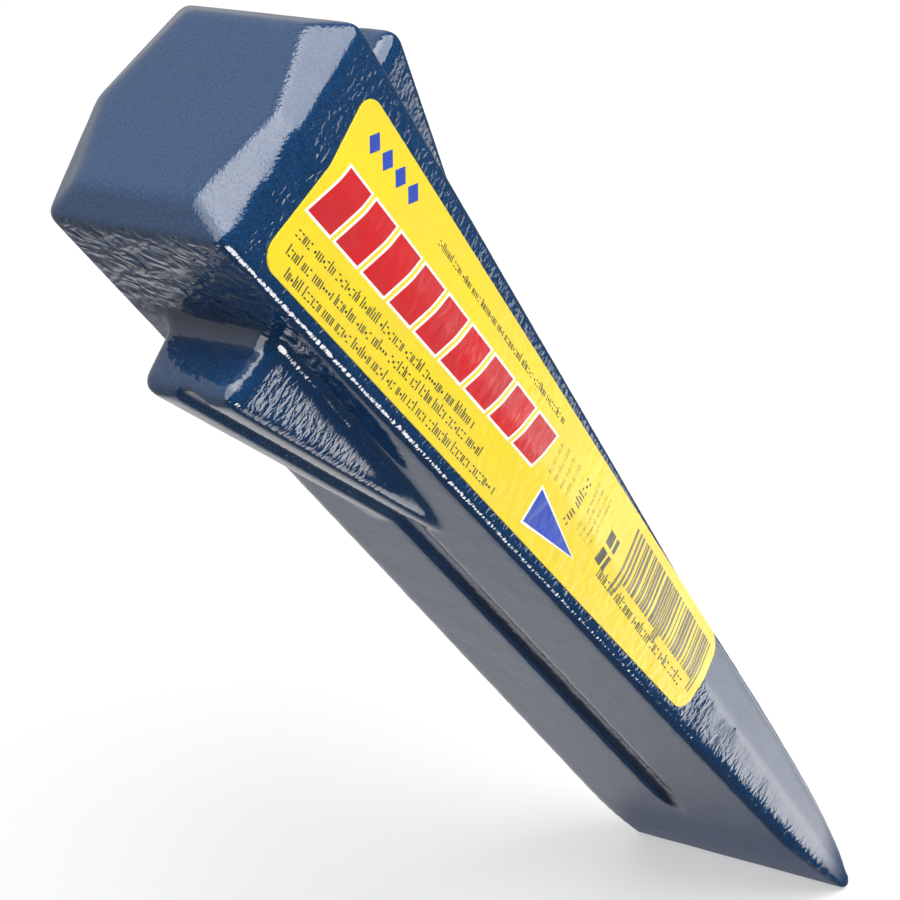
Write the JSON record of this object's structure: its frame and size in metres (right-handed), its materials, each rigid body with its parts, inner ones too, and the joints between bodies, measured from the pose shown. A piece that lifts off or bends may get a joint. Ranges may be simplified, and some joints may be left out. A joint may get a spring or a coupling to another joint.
{
  "type": "wood splitting wedge",
  "caption": "Forged steel splitting wedge with a flat struck face, a tapered body ending in a cutting edge, a grooved fin on each cheek and a printed side label.",
  "frame": {"origin": "middle of the cutting edge, on the centre plane between the two cheeks", "axes": "+Z from the cutting edge up to the struck face, +X along the cutting edge towards the labelled side, +Y through the thickness towards the cheek whose fin has the higher shoulder"},
  "size_m": [0.0476, 0.0634, 0.22],
  "materials": {
    "hammered_blue_enamel": "glossy metallic hammered enamel over forged steel",
    "printed_vinyl_label": "semi-gloss printed vinyl film"
  },
  "bodies": {
    "root": {"wedge_forging": "hammered_blue_enamel", "side_label": "printed_vinyl_label"}
  },
  "joints": []
}
